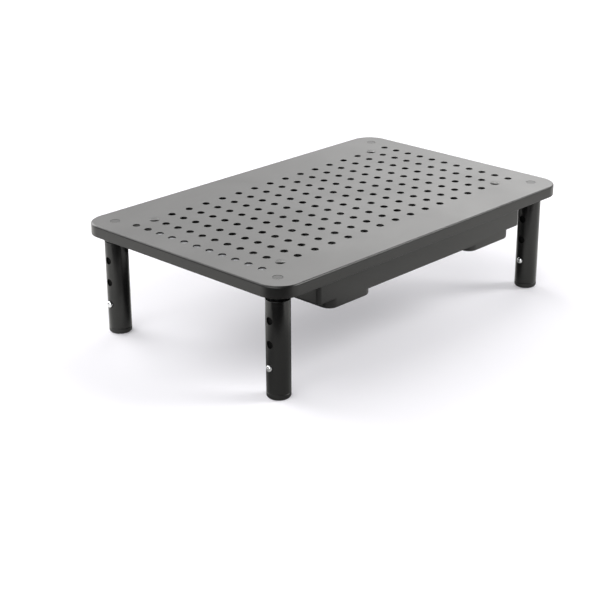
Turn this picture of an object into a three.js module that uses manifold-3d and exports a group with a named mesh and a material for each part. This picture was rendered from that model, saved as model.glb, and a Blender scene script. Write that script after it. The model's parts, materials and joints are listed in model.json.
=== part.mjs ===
// Monitor stand with a drawer: a perforated pressed platform on four telescopic legs.
// Millimetres, +Z up, X along the long side, the drawer opens towards -Y.
// The origin is on the floor, below the middle of the platform.

import * as THREE from "three";
import { mergeVertices } from "three/addons/utils/BufferGeometryUtils.js";
import Module from "manifold-3d";

const wasm = await Module();
wasm.setup();

// Whole stand, legs at their lowest setting
const STAND_LENGTH = 370;
const STAND_DEPTH = 237;
const STAND_HEIGHT = 101;

// Platform: one pressed sheet with a turned-down rim that is folded inwards at the bottom
const SHEET = 1.2;
const RIM_HEIGHT = 10;
const PLAN_RADIUS = 21;
const BEND_RADIUS = 1.6;
const RIM_FOLD = 4;

// Grid of round holes in the platform: as many as come nearest to these margins
const HOLE_RADIUS = 3.25;
const HOLE_PITCH_LONG = 20;
const HOLE_PITCH_SHORT = 15;
const HOLE_MARGIN_LONG = 25;
const HOLE_MARGIN_SHORT = 43.5;
const HOLE_SIDES = 8;

// Legs: an outer tube that slides on an inner one
const LEG_INSET_LONG = 20;
const LEG_INSET_SHORT = 21.5;
const OUTER_RADIUS = 10;
const OUTER_WALL = 1.2;
const OUTER_END_GAP = 15.7;
const INNER_WALL = 1.2;
const TUBE_CLEARANCE = 0.3;
const INNER_END_GAP = 3;
const LEG_HOLE_RADIUS = 3.2;
const LEG_HOLE_LAND = 8;
const LEG_STEP = 20;
const BUTTON_HEIGHT = 27.5;

// Foot cap
const FOOT_HEIGHT = 5;
const FOOT_EDGE_RADIUS = 2.6;
const FOOT_SPIGOT_LENGTH = 9;
const FOOT_SPIGOT_WALL = 2;

// Snap button and the bent strip behind it
const BUTTON_PLAY = 0.4;
const BUTTON_REACH = 2.5;
const BUTTON_DOME = 1.7;
const BUTTON_COLLAR_WIDTH = 1;
const BUTTON_COLLAR_THICKNESS = 0.9;
const BUTTON_COLLAR_GAP = 0.25;
const SPRING_THICKNESS = 0.6;
const SPRING_WIDTH = 5.6;
const SPRING_BEND_RADIUS = 2.2;
const SPRING_DROP = 7;
const SPRING_RISE = 26;
const SPRING_WALL_GAP = 0.25;

// Corner nut below the platform, and the plug of the inner tube whose stud screws into it
const NUT_SPIGOT_RADIUS = 4.2;
const NUT_BODY_RADIUS = 8;
const NUT_BODY_HEIGHT = 8;
const NUT_CLOSED_TOP = 2;
const NUT_DROP = 0.1;
const NUT_PLAY = 0.1;
const THREAD_RADIUS = 3;
const THREAD_CLEARANCE = 0.3;
const PLUG_SINK = 0.4;
const PLUG_FLANGE = 2;
const PLUG_DEPTH = 12;
const PLUG_CLEARANCE = 0.2;
const PLUG_BOSS_RADIUS = 4.6;

// Rails: bent sheet channels fixed below the platform at one column of the hole grid
const RAIL_SHEET = 1.2;
const RAIL_BEND_RADIUS = 1.8;
const RAIL_SETBACK = 11.7;
const RAIL_STUD_TO_EDGE = 5.5;
const RAIL_COLUMN_FROM_END = 1;
const RAIL_TAB_OVER_LIP = 2.1;
const STUD_RADIUS = 2;
const STUD_PLAY = 0.2;
const STUD_BELOW_NUT = 0.4;
const STUD_NECK_PLAY = 0.4;
const STUD_HEAD_LAP = 0.95;
const STUD_HEAD_EDGE = 0.25;
const STUD_HEAD_DOME = 0.6;
const RAIL_NUT_ACROSS_FLATS = 7;
const RAIL_NUT_HEIGHT = 3;
const RAIL_NUT_TO_BEND = 0.1;

// Drawer: a moulded tray with ledges at both ends, a shallow middle and two deeper bins,
// the right one wider
const DRAWER_SIDE_GAP = 2.5;
const DRAWER_SETBACK = 9;
const DRAWER_BACK_SETBACK = 17;
const DRAWER_KEPT_IN = 61;
const DRAWER_WALL = 2.2;
const DRAWER_RIM_GAP = 0.8;
const DRAWER_CORNER_RADIUS = 3.4;
const LEDGE_BELOW_TOP = 30.6;
const LEDGE_WIDTH = 12.5;
const MIDDLE_DROP = 1.9;
const LEFT_BIN_WIDTH = 51.8;
const RIGHT_BIN_WIDTH = 58.5;
const BIN_DROP = 5.9;
const BIN_CORNER_RADIUS = 9;
const BIN_EDGE_RADIUS = 2;
const LIP_THICKNESS = 2;
const LIP_RUNNING_GAP = 0.3;
const LIP_SIDE_GAP = 0.5;
const CATCH_WIDTH = 6;
const CATCH_LENGTH = 6;
const CATCH_HEAD_GAP = 0.3;
const STOP_GAP = 0.5;

// Light strip stuck below the platform, behind the first column of holes but its last rows
const STRIP_THICKNESS = 0.3;
const STRIP_WIDTH = 16;
const STRIP_OPEN_ROWS = 2;
const STRIP_MARGIN = 5;

// Fineness of the round forms
const TUBE_SIDES = 20;
const HIDDEN_SIDES = 12;
const BORE_SIDES = 10;
const CORNER_STEPS = 6;
const EDGE_STEPS = 3;

// Cuts run past the faces that they open by this much
const OVERRUN = 1;

// Places that several pieces share
const TOP = STAND_HEIGHT;
const UNDERSIDE = TOP - SHEET;
const RIM_BOTTOM = TOP - RIM_HEIGHT;
const FRONT = -STAND_DEPTH / 2;
const LEG_X = STAND_LENGTH / 2 - LEG_INSET_LONG;
const LEG_Y = STAND_DEPTH / 2 - LEG_INSET_SHORT;
const OUTER_BORE = OUTER_RADIUS - OUTER_WALL;
const INNER_RADIUS = OUTER_BORE - TUBE_CLEARANCE;
const INNER_BORE = INNER_RADIUS - INNER_WALL;
const NUT_BOTTOM = UNDERSIDE - NUT_BODY_HEIGHT;
const SPIGOT_TOP = FOOT_HEIGHT + FOOT_SPIGOT_LENGTH;
const OUTER_TOP = UNDERSIDE - OUTER_END_GAP;
const PLUG_TOP = OUTER_TOP - PLUG_SINK;
const INNER_TOP = PLUG_TOP - PLUG_FLANGE;
const LEG_STEPS = Math.floor((OUTER_TOP - LEG_HOLE_LAND - BUTTON_HEIGHT) / LEG_STEP);
const BUTTON_RADIUS = LEG_HOLE_RADIUS - BUTTON_PLAY;
const COLLAR_RADIUS = BUTTON_RADIUS + BUTTON_COLLAR_WIDTH;
const COLLAR_FACE = Math.sqrt(INNER_BORE ** 2 - COLLAR_RADIUS ** 2) - BUTTON_COLLAR_GAP;
const BUTTON_BACK = COLLAR_FACE - BUTTON_COLLAR_THICKNESS;

const HOLE_COLUMNS = 1 + Math.round((STAND_LENGTH - 2 * HOLE_MARGIN_LONG) / HOLE_PITCH_LONG);
const HOLE_ROWS = 1 + Math.round((STAND_DEPTH - 2 * HOLE_MARGIN_SHORT) / HOLE_PITCH_SHORT);
const FIRST_COLUMN = -((HOLE_COLUMNS - 1) * HOLE_PITCH_LONG) / 2;
const FIRST_ROW = -((HOLE_ROWS - 1) * HOLE_PITCH_SHORT) / 2;

const RAIL_X = -FIRST_COLUMN - RAIL_COLUMN_FROM_END * HOLE_PITCH_LONG;
const RAIL_NUT_EDGE = RAIL_X + RAIL_NUT_ACROSS_FLATS / 2;
const CHANNEL_FAR_X = RAIL_NUT_EDGE + RAIL_NUT_TO_BEND + RAIL_BEND_RADIUS - RAIL_SHEET / 2;
const WEB_X = CHANNEL_FAR_X + RAIL_SHEET;
const CHANNEL_X = RAIL_X - RAIL_STUD_TO_EDGE;
const CHANNEL_TOP = UNDERSIDE - RAIL_SHEET;
const STUD_END = CHANNEL_TOP - RAIL_NUT_HEIGHT - STUD_BELOW_NUT;

const DRAWER_HALF_LENGTH = CHANNEL_X - DRAWER_SIDE_GAP;
const DRAWER_FRONT = FRONT + DRAWER_SETBACK;
const DRAWER_BACK = STAND_DEPTH / 2 - DRAWER_BACK_SETBACK;
const DRAWER_TRAVEL = DRAWER_BACK - DRAWER_FRONT - DRAWER_KEPT_IN;
const DRAWER_TOP = RIM_BOTTOM - DRAWER_RIM_GAP;
const LEDGE_BOTTOM = TOP - LEDGE_BELOW_TOP;
const MIDDLE_BOTTOM = LEDGE_BOTTOM - MIDDLE_DROP;
const BIN_BOTTOM = MIDDLE_BOTTOM - BIN_DROP;
const BIN_FAR_X = DRAWER_HALF_LENGTH - LEDGE_WIDTH;
const RAIL_FRONT = DRAWER_FRONT + RAIL_SETBACK;
const RAIL_BACK = DRAWER_BACK + STOP_GAP + RAIL_SHEET;
const LIP_BOTTOM = DRAWER_TOP - LIP_THICKNESS;
const CHANNEL_FLOOR = LIP_BOTTOM - LIP_RUNNING_GAP;

const CORNERS = [
  { name: "front_left", x: -1, y: -1 },
  { name: "front_right", x: 1, y: -1 },
  { name: "rear_left", x: -1, y: 1 },
  { name: "rear_right", x: 1, y: 1 },
];
const BINS = [
  { side: -1, width: LEFT_BIN_WIDTH },
  { side: 1, width: RIGHT_BIN_WIDTH },
];

// Finishes
function finish(color, roughness, metalness) {
  return new THREE.MeshStandardMaterial({ color, roughness, metalness });
}
const SATIN_BLACK = finish(0x2b2c2e, 0.45, 0.3);
const TUBE_BLACK = finish(0x1c1c1e, 0.42, 0.3);
const INNER_BLACK = finish(0x0c0c0c, 0.6, 0.2);
const NUT_BLACK = finish(0x1a1a1b, 0.6, 0.4);
const CAP_BLACK = finish(0x141415, 0.6, 0);
const DRAWER_BLACK = finish(0x26272a, 0.5, 0);
const CHROME = finish(0xd8dade, 0.15, 1);
const SPRING_STEEL = finish(0x9a9ca0, 0.3, 1);
const ZINC = finish(0x8f9296, 0.4, 1);
const LIGHT_STRIP = finish(0xb9bbbd, 0.8, 0);

// Solids: closed geometries in and out of the boolean library
function solid(geometry) {
  const bare = geometry.index ? geometry.toNonIndexed() : geometry.clone();
  bare.deleteAttribute("normal");
  bare.deleteAttribute("uv");
  const merged = mergeVertices(bare);
  return new wasm.Manifold(
    new wasm.Mesh({
      numProp: 3,
      vertProperties: new Float32Array(merged.getAttribute("position").array),
      triVerts: new Uint32Array(merged.index.array),
    }),
  );
}

function geometryOf(manifold) {
  const mesh = manifold.getMesh();
  const geometry = new THREE.BufferGeometry();
  geometry.setAttribute("position", new THREE.BufferAttribute(mesh.vertProperties, mesh.numProp));
  geometry.setIndex(new THREE.BufferAttribute(mesh.triVerts, 1));
  return geometry;
}

function united(solids) {
  return solids.reduce((whole, piece) => whole.add(piece));
}

function placed(geometry, x, y, z) {
  return geometry.clone().translate(x, y, z);
}

// A cylinder from one height to another, with a corner towards -Y
function postZ(radius, bottom, top, sides) {
  const geometry = new THREE.CylinderGeometry(radius, radius, top - bottom, sides);
  geometry.rotateX(Math.PI / 2);
  return geometry.translate(0, 0, (top + bottom) / 2);
}

// A cylinder along X between two distances from the axis, on the left side
function postLeft(radius, near, far, sides) {
  const geometry = new THREE.CylinderGeometry(radius, radius, far - near, sides);
  geometry.rotateZ(Math.PI / 2);
  return geometry.translate(-(near + far) / 2, 0, 0);
}

function box(x0, x1, y0, y1, z0, z1) {
  const geometry = new THREE.BoxGeometry(x1 - x0, y1 - y0, z1 - z0);
  return geometry.translate((x0 + x1) / 2, (y0 + y1) / 2, (z0 + z1) / 2);
}

// A closed profile of [radius, height] pairs turned about Z
function turned(profile, sides) {
  const points = profile.map(([radius, height]) => new THREE.Vector2(radius, height));
  return new THREE.LatheGeometry(points, sides).rotateX(Math.PI / 2);
}

// Points of a quarter circle from one angle to another, ends included
function arc(centreX, centreY, radius, from, to, steps) {
  return Array.from({ length: steps + 1 }, (_, i) => {
    const angle = from + ((to - from) * i) / steps;
    return [centreX + radius * Math.cos(angle), centreY + radius * Math.sin(angle)];
  });
}

// The profile of a flattened dome, from its edge up to its tip on the axis
function quarterDome(radius, base, height) {
  const dome = arc(0, 0, 1, 0, Math.PI / 2, EDGE_STEPS).slice(0, -1);
  return [...dome.map(([out, up]) => [radius * out, base + height * up]), [0, base + height]];
}

// The outline of a rectangle with rounded corners, run anticlockwise
function roundedOutline(x0, x1, y0, y1, radius) {
  const quarter = Math.PI / 2;
  return [
    ...arc(x1 - radius, y1 - radius, radius, 0, quarter, CORNER_STEPS),
    ...arc(x0 + radius, y1 - radius, radius, quarter, 2 * quarter, CORNER_STEPS),
    ...arc(x0 + radius, y0 + radius, radius, 2 * quarter, 3 * quarter, CORNER_STEPS),
    ...arc(x1 - radius, y0 + radius, radius, 3 * quarter, 4 * quarter, CORNER_STEPS),
  ];
}

// A convex solid through outlines of equal point counts, listed from the bottom up
function loft(layers) {
  const count = layers[0].outline.length;
  const positions = layers.flatMap(({ outline, z }) => outline.flatMap(([x, y]) => [x, y, z]));
  const index = [];
  for (let layer = 0; layer + 1 < layers.length; layer++) {
    for (let i = 0; i < count; i++) {
      const a = layer * count + i;
      const b = layer * count + ((i + 1) % count);
      index.push(a, b, b + count, a, b + count, a + count);
    }
  }
  const last = (layers.length - 1) * count;
  for (let i = 1; i + 1 < count; i++) {
    index.push(0, i + 1, i);
    index.push(last, last + i, last + i + 1);
  }
  const geometry = new THREE.BufferGeometry();
  geometry.setAttribute("position", new THREE.Float32BufferAttribute(positions, 3));
  geometry.setIndex(index);
  return geometry;
}

// A rounded block whose lower edge is rounded too
function roundedBlock({ x0, x1, y0, y1, z0, z1, radius, edge }) {
  const layers = arc(0, 0, edge, 0, Math.PI / 2, EDGE_STEPS).map(([down, out]) => {
    const inset = edge - out;
    return {
      outline: roundedOutline(x0 + inset, x1 - inset, y0 + inset, y1 - inset, radius - inset),
      z: z0 + edge - down,
    };
  });
  return loft([...layers, { outline: roundedOutline(x0, x1, y0, y1, radius), z: z1 }]);
}

// The outline of a bent sheet: a centre line with rounded bends, thickened to both sides
function bentSheet(corners, thickness, bendRadius) {
  const line = [corners[0]];
  for (let i = 1; i + 1 < corners.length; i++) {
    const here = new THREE.Vector2(...corners[i]);
    const before = new THREE.Vector2(...corners[i - 1]).sub(here).normalize();
    const after = new THREE.Vector2(...corners[i + 1]).sub(here).normalize();
    const half = before.angleTo(after) / 2;
    const reach = bendRadius / Math.tan(half);
    const start = here.clone().addScaledVector(before, reach);
    const end = here.clone().addScaledVector(after, reach);
    const bisector = before.clone().add(after).normalize();
    const centre = here.clone().addScaledVector(bisector, bendRadius / Math.sin(half));
    const from = start.clone().sub(centre).angle();
    let sweep = end.clone().sub(centre).angle() - from;
    sweep -= 2 * Math.PI * Math.round(sweep / (2 * Math.PI));
    line.push(...arc(centre.x, centre.y, bendRadius, from, from + sweep, EDGE_STEPS));
  }
  line.push(corners[corners.length - 1]);
  return thickened(line, thickness / 2);
}

function thickened(line, half) {
  const left = [];
  const right = [];
  line.forEach(([x, y], i) => {
    const [px, py] = line[Math.max(i - 1, 0)];
    const [nx, ny] = line[Math.min(i + 1, line.length - 1)];
    const along = new THREE.Vector2(nx - px, ny - py).normalize();
    left.push([x - along.y * half, y + along.x * half]);
    right.unshift([x + along.y * half, y - along.x * half]);
  });
  return [...left, ...right];
}

function shapeOf(outline) {
  return new THREE.Shape(outline.map(([x, y]) => new THREE.Vector2(x, y)));
}

// An outline drawn in X and Z, drawn out along Y from one place to another
function drawnAlongY(outline, y0, y1) {
  const geometry = new THREE.ExtrudeGeometry(shapeOf(outline), {
    depth: y1 - y0,
    bevelEnabled: false,
  });
  return geometry.rotateX(Math.PI / 2).translate(0, y1, 0);
}

// Platform: the pressed sheet and its holes
function planOutline(inset) {
  const x = STAND_LENGTH / 2 - inset;
  const y = STAND_DEPTH / 2 - inset;
  return roundedOutline(-x, x, -y, y, PLAN_RADIUS - inset);
}

function pressing(inset, bottom) {
  const bend = BEND_RADIUS - inset;
  const bendLayers = arc(0, TOP - BEND_RADIUS, bend, 0, Math.PI / 2, EDGE_STEPS).map(([out, z]) => ({
    outline: planOutline(BEND_RADIUS - out),
    z,
  }));
  return solid(loft([{ outline: planOutline(inset), z: bottom }, ...bendLayers]));
}

function foldOpening() {
  const outline = planOutline(SHEET + RIM_FOLD);
  return solid(loft([RIM_BOTTOM - OVERRUN, UNDERSIDE - OVERRUN].map((z) => ({ outline, z }))));
}

function platformHoles() {
  const hole = postZ(HOLE_RADIUS, UNDERSIDE - OVERRUN, TOP + OVERRUN, HOLE_SIDES);
  const cuts = [];
  for (let column = 0; column < HOLE_COLUMNS; column++) {
    for (let row = 0; row < HOLE_ROWS; row++) {
      const x = FIRST_COLUMN + column * HOLE_PITCH_LONG;
      const y = FIRST_ROW + row * HOLE_PITCH_SHORT;
      cuts.push(solid(placed(hole, x, y, 0)));
    }
  }
  const nutHole = postZ(NUT_SPIGOT_RADIUS + NUT_PLAY, UNDERSIDE - OVERRUN, TOP + OVERRUN, HIDDEN_SIDES);
  CORNERS.forEach(({ x, y }) => cuts.push(solid(placed(nutHole, x * LEG_X, y * LEG_Y, 0))));
  return united(cuts);
}

function platform() {
  const outside = pressing(0, RIM_BOTTOM);
  const inside = pressing(SHEET, RIM_BOTTOM + SHEET).add(foldOpening());
  return geometryOf(outside.subtract(inside).subtract(platformHoles()));
}

// Corner nut: closed on top, flush in the platform, threaded from below
function cornerNut() {
  const bore = THREAD_RADIUS + THREAD_CLEARANCE;
  return turned(
    [
      [bore, NUT_BOTTOM],
      [NUT_BODY_RADIUS, NUT_BOTTOM],
      [NUT_BODY_RADIUS, UNDERSIDE],
      [NUT_SPIGOT_RADIUS, UNDERSIDE],
      [NUT_SPIGOT_RADIUS, TOP - NUT_DROP],
      [0, TOP - NUT_DROP],
      [0, TOP - NUT_CLOSED_TOP],
      [bore, TOP - NUT_CLOSED_TOP],
      [bore, NUT_BOTTOM],
    ],
    HIDDEN_SIDES,
  );
}

// Plug that closes the inner tube, with a boss up to the nut and the stud that screws into it
function legPlug() {
  const body = INNER_BORE - PLUG_CLEARANCE;
  const studTop = TOP - NUT_CLOSED_TOP - THREAD_CLEARANCE;
  return turned(
    [
      [0, INNER_TOP - PLUG_DEPTH],
      [body, INNER_TOP - PLUG_DEPTH],
      [body, INNER_TOP],
      [INNER_RADIUS, INNER_TOP],
      [INNER_RADIUS, PLUG_TOP],
      [PLUG_BOSS_RADIUS, PLUG_TOP],
      [PLUG_BOSS_RADIUS, NUT_BOTTOM],
      [THREAD_RADIUS, NUT_BOTTOM],
      [THREAD_RADIUS, studTop],
      [0, studTop],
    ],
    HIDDEN_SIDES,
  );
}

// A plain tube with round holes in a row on its left side
function piercedTube(radius, bore, bottom, top, holeHeights) {
  const outside = solid(postZ(radius, bottom, top, TUBE_SIDES));
  const inside = solid(postZ(bore, bottom - OVERRUN, top + OVERRUN, TUBE_SIDES));
  const hole = postLeft(LEG_HOLE_RADIUS, 0, radius + OVERRUN, BORE_SIDES);
  const holes = united(holeHeights.map((height) => solid(placed(hole, 0, 0, height))));
  return geometryOf(outside.subtract(inside).subtract(holes));
}

function innerTube() {
  const bottom = SPIGOT_TOP + INNER_END_GAP;
  return piercedTube(INNER_RADIUS, INNER_BORE, bottom, INNER_TOP, [BUTTON_HEIGHT]);
}

function outerTube() {
  const heights = Array.from({ length: LEG_STEPS + 1 }, (_, step) => BUTTON_HEIGHT + step * LEG_STEP);
  return piercedTube(OUTER_RADIUS, OUTER_BORE, FOOT_HEIGHT, OUTER_TOP, heights);
}

// Foot cap: a round-edged sole with a hollow spigot that is pushed into the outer tube
function footCap() {
  const spigot = OUTER_BORE - TUBE_CLEARANCE;
  const hollow = spigot - FOOT_SPIGOT_WALL;
  const edge = arc(
    OUTER_RADIUS - FOOT_EDGE_RADIUS,
    FOOT_EDGE_RADIUS,
    FOOT_EDGE_RADIUS,
    -Math.PI / 2,
    0,
    EDGE_STEPS,
  );
  return turned(
    [
      [0, 0],
      ...edge,
      [OUTER_RADIUS, FOOT_HEIGHT],
      [spigot, FOOT_HEIGHT],
      [spigot, SPIGOT_TOP],
      [hollow, SPIGOT_TOP],
      [hollow, FOOT_HEIGHT],
      [0, FOOT_HEIGHT],
    ],
    TUBE_SIDES,
  );
}

// Snap button: domed head, shank through both tubes and a collar behind the inner wall
function snapButton() {
  const domeBase = OUTER_RADIUS + BUTTON_REACH - BUTTON_DOME;
  const profile = [
    [0, BUTTON_BACK],
    [COLLAR_RADIUS, BUTTON_BACK],
    [COLLAR_RADIUS, COLLAR_FACE],
    [BUTTON_RADIUS, COLLAR_FACE],
    ...quarterDome(BUTTON_RADIUS, domeBase, BUTTON_DOME),
  ];
  return turned(profile, HIDDEN_SIDES).rotateY(-Math.PI / 2).translate(0, 0, BUTTON_HEIGHT);
}

// Bent strip: one arm behind the button, a round bend below, one arm leaning on the far wall
function buttonSpring() {
  const half = SPRING_THICKNESS / 2;
  const farWall = Math.sqrt(INNER_BORE ** 2 - (SPRING_WIDTH / 2) ** 2) - SPRING_WALL_GAP;
  const nearX = -BUTTON_BACK + half;
  const outline = bentSheet(
    [
      [nearX, BUTTON_HEIGHT + COLLAR_RADIUS],
      [nearX, BUTTON_HEIGHT - SPRING_DROP],
      [nearX + 2 * SPRING_BEND_RADIUS + half, BUTTON_HEIGHT - SPRING_DROP],
      [farWall - half, BUTTON_HEIGHT - SPRING_DROP + SPRING_RISE],
    ],
    SPRING_THICKNESS,
    SPRING_BEND_RADIUS,
  );
  return drawnAlongY(outline, -SPRING_WIDTH / 2, SPRING_WIDTH / 2);
}

// Rail: a channel open towards the drawer, a stop tab in front and an end tab behind
function rail() {
  const half = RAIL_SHEET / 2;
  const channel = bentSheet(
    [
      [CHANNEL_X, UNDERSIDE - half],
      [WEB_X - half, UNDERSIDE - half],
      [WEB_X - half, CHANNEL_FLOOR - half],
      [CHANNEL_X, CHANNEL_FLOOR - half],
    ],
    RAIL_SHEET,
    RAIL_BEND_RADIUS,
  );
  const tabEdge = CHANNEL_FAR_X - RAIL_BEND_RADIUS;
  const tabTop = CHANNEL_TOP + half;
  const stopBack = RAIL_FRONT + RAIL_SHEET;
  const stopBottom = DRAWER_TOP + RAIL_TAB_OVER_LIP;
  const stopTab = box(CHANNEL_X, tabEdge, RAIL_FRONT, stopBack, stopBottom, tabTop);
  const endTab = box(CHANNEL_X, tabEdge, RAIL_BACK - RAIL_SHEET, RAIL_BACK, LIP_BOTTOM, tabTop);
  const studHole = postZ(STUD_RADIUS + STUD_PLAY, CHANNEL_TOP - OVERRUN, UNDERSIDE + OVERRUN, BORE_SIDES);
  const studHoles = [FIRST_ROW, -FIRST_ROW].map((y) => solid(placed(studHole, RAIL_X, y, 0)));
  const body = united([solid(drawnAlongY(channel, RAIL_FRONT, RAIL_BACK)), solid(stopTab), solid(endTab)]);
  return body.subtract(united(studHoles));
}

// Stud with a low domed head over a hole of the grid, and its nut below the rail's top flange
function railStud() {
  const neck = HOLE_RADIUS - STUD_NECK_PLAY;
  const head = HOLE_RADIUS + STUD_HEAD_LAP;
  const domeBase = TOP + STUD_HEAD_EDGE;
  return turned(
    [
      [0, STUD_END],
      [STUD_RADIUS, STUD_END],
      [STUD_RADIUS, UNDERSIDE],
      [neck, UNDERSIDE],
      [neck, TOP],
      [head, TOP],
      ...quarterDome(head, domeBase, STUD_HEAD_DOME),
    ],
    HIDDEN_SIDES,
  );
}

function railNut() {
  const corners = RAIL_NUT_ACROSS_FLATS / Math.sqrt(3);
  const bottom = CHANNEL_TOP - RAIL_NUT_HEIGHT;
  const hexagon = solid(postZ(corners, bottom, CHANNEL_TOP, 6));
  const bore = postZ(STUD_RADIUS + STUD_PLAY, bottom - OVERRUN, CHANNEL_TOP + OVERRUN, BORE_SIDES);
  return geometryOf(hexagon.subtract(solid(bore)));
}

// Drawer: the same four forms make the outside and, set in by the wall, the inside
function trayForms(inset, top) {
  const y0 = DRAWER_FRONT + inset;
  const y1 = DRAWER_BACK - inset;
  const [middleLeft, middleRight] = BINS.map(
    ({ side, width }) => side * (BIN_FAR_X - width + BIN_CORNER_RADIUS),
  );
  const cornerRadius = DRAWER_CORNER_RADIUS - inset;
  const ledges = roundedBlock({
    x0: -DRAWER_HALF_LENGTH + inset,
    x1: DRAWER_HALF_LENGTH - inset,
    y0,
    y1,
    z0: LEDGE_BOTTOM + inset,
    z1: top,
    radius: cornerRadius,
    edge: cornerRadius / 2,
  });
  const middle = box(middleLeft, middleRight, y0, y1, MIDDLE_BOTTOM + inset, top);
  const bins = BINS.map(({ side, width }) => {
    const ends = [side * (BIN_FAR_X - width), side * BIN_FAR_X];
    return roundedBlock({
      x0: Math.min(...ends) + inset,
      x1: Math.max(...ends) - inset,
      y0,
      y1,
      z0: BIN_BOTTOM + inset,
      z1: top,
      radius: BIN_CORNER_RADIUS - inset,
      edge: BIN_EDGE_RADIUS - inset / 2,
    });
  });
  return united([ledges, middle, ...bins].map(solid));
}

function sideLips() {
  const lipOuter = CHANNEL_FAR_X - LIP_SIDE_GAP;
  const lipInner = DRAWER_HALF_LENGTH - DRAWER_WALL / 2;
  const lipFront = RAIL_FRONT - RAIL_SHEET;
  const catchFront = RAIL_FRONT + RAIL_SHEET + DRAWER_TRAVEL + STOP_GAP;
  const lip = box(lipInner, lipOuter, lipFront, DRAWER_BACK, LIP_BOTTOM, DRAWER_TOP);
  const catchBlock = box(
    RAIL_X - CATCH_WIDTH / 2,
    RAIL_X + CATCH_WIDTH / 2,
    catchFront,
    catchFront + CATCH_LENGTH,
    DRAWER_TOP - LIP_THICKNESS / 2,
    STUD_END - CATCH_HEAD_GAP,
  );
  const right = solid(lip).add(solid(catchBlock));
  return right.add(right.mirror([1, 0, 0]));
}

function drawer() {
  const outside = trayForms(0, DRAWER_TOP);
  const inside = trayForms(DRAWER_WALL, DRAWER_TOP + OVERRUN);
  return geometryOf(outside.add(sideLips()).subtract(inside));
}

function undersideStrip() {
  const lastRow = -FIRST_ROW - STRIP_OPEN_ROWS * HOLE_PITCH_SHORT;
  return box(
    FIRST_COLUMN - STRIP_WIDTH / 2,
    FIRST_COLUMN + STRIP_WIDTH / 2,
    FIRST_ROW - STRIP_MARGIN,
    lastRow + STRIP_MARGIN,
    UNDERSIDE - STRIP_THICKNESS,
    UNDERSIDE,
  );
}

// The stand, put together
const stand = new THREE.Group();

function add(name, geometry, material, x = 0, y = 0) {
  const mesh = new THREE.Mesh(geometry, material);
  mesh.name = name;
  mesh.position.set(x, y, 0);
  stand.add(mesh);
}

add("platform", platform(), SATIN_BLACK);
add("drawer", drawer(), DRAWER_BLACK);
add("underside_strip", undersideStrip(), LIGHT_STRIP);

const legPieces = [
  ["corner_nut", cornerNut(), NUT_BLACK],
  ["leg_plug", legPlug(), CAP_BLACK],
  ["inner_tube", innerTube(), INNER_BLACK],
  ["outer_tube", outerTube(), TUBE_BLACK],
  ["foot_cap", footCap(), CAP_BLACK],
  ["snap_button", snapButton(), CHROME],
  ["button_spring", buttonSpring(), SPRING_STEEL],
];
CORNERS.forEach((corner) => {
  legPieces.forEach(([piece, geometry, material]) => {
    add(`${piece}_${corner.name}`, geometry, material, corner.x * LEG_X, corner.y * LEG_Y);
  });
});

const rightRail = rail();
add("rail_right", geometryOf(rightRail), SATIN_BLACK);
add("rail_left", geometryOf(rightRail.mirror([1, 0, 0])), SATIN_BLACK);
const railFixings = [
  ["rail_stud", railStud(), SATIN_BLACK],
  ["rail_nut", railNut(), ZINC],
];
CORNERS.forEach((corner) => {
  railFixings.forEach(([piece, geometry, material]) => {
    add(`${piece}_${corner.name}`, geometry, material, corner.x * RAIL_X, -corner.y * FIRST_ROW);
  });
});

export default stand;
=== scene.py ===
"""Looks of a monitor stand with a drawer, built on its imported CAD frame, in metres."""

import json
import logging
import math
from collections.abc import Sequence
from dataclasses import dataclass
from enum import Enum

import bmesh
import bpy
from mathutils import Matrix, Vector


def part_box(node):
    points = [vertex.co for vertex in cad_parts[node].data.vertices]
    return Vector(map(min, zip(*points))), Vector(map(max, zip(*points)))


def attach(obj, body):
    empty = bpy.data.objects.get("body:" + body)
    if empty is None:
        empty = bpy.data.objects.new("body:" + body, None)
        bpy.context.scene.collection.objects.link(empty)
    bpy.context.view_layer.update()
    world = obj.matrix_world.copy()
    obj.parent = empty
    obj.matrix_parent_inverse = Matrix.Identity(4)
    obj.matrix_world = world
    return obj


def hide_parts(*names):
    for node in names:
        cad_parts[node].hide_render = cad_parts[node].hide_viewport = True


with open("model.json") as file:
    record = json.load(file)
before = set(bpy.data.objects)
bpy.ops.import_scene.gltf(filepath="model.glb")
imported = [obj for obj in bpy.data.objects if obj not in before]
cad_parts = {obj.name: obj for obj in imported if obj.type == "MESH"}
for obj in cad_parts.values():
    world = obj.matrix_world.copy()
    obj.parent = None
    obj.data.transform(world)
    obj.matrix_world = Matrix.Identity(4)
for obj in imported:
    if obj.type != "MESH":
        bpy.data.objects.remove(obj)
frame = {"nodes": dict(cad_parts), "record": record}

LOG = logging.getLogger("stand")
MM = 0.001
QUARTER = math.pi / 2
SAME = 0.001 * MM  # points and heights closer than this count as one
SEAM = 0.0005 * MM  # the same for the points that a boolean leaves
TRUE_ARC = 0.5  # the bevel profile that gives an arc of a circle
UPRIGHT_RISE = 0.99  # least rise of an upright edge, to its length
LIVE_ANGLE = math.radians(35)  # edges that turn by more take a live bevel
LIVE_STEPS = 2  # facets of a live bevel

Body = bmesh.types.BMesh
Socket = bpy.types.NodeSocket
Edge = bmesh.types.BMEdge
Vert = bmesh.types.BMVert
Node = bpy.types.Node
Pair = tuple[float, float]
Triple = tuple[float, float, float]
Profile = list[Pair]
Inputs = dict[str | int, object]


class Corner(Enum):
    """The stand's four corners, by the names that the CAD nodes carry."""

    FRONT_LEFT = "front_left"
    FRONT_RIGHT = "front_right"
    REAR_LEFT = "rear_left"
    REAR_RIGHT = "rear_right"

    def node(self, piece: str) -> str:
        """The name of the CAD node of this piece at this corner."""
        return f"{piece}_{self.value}"


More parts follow.
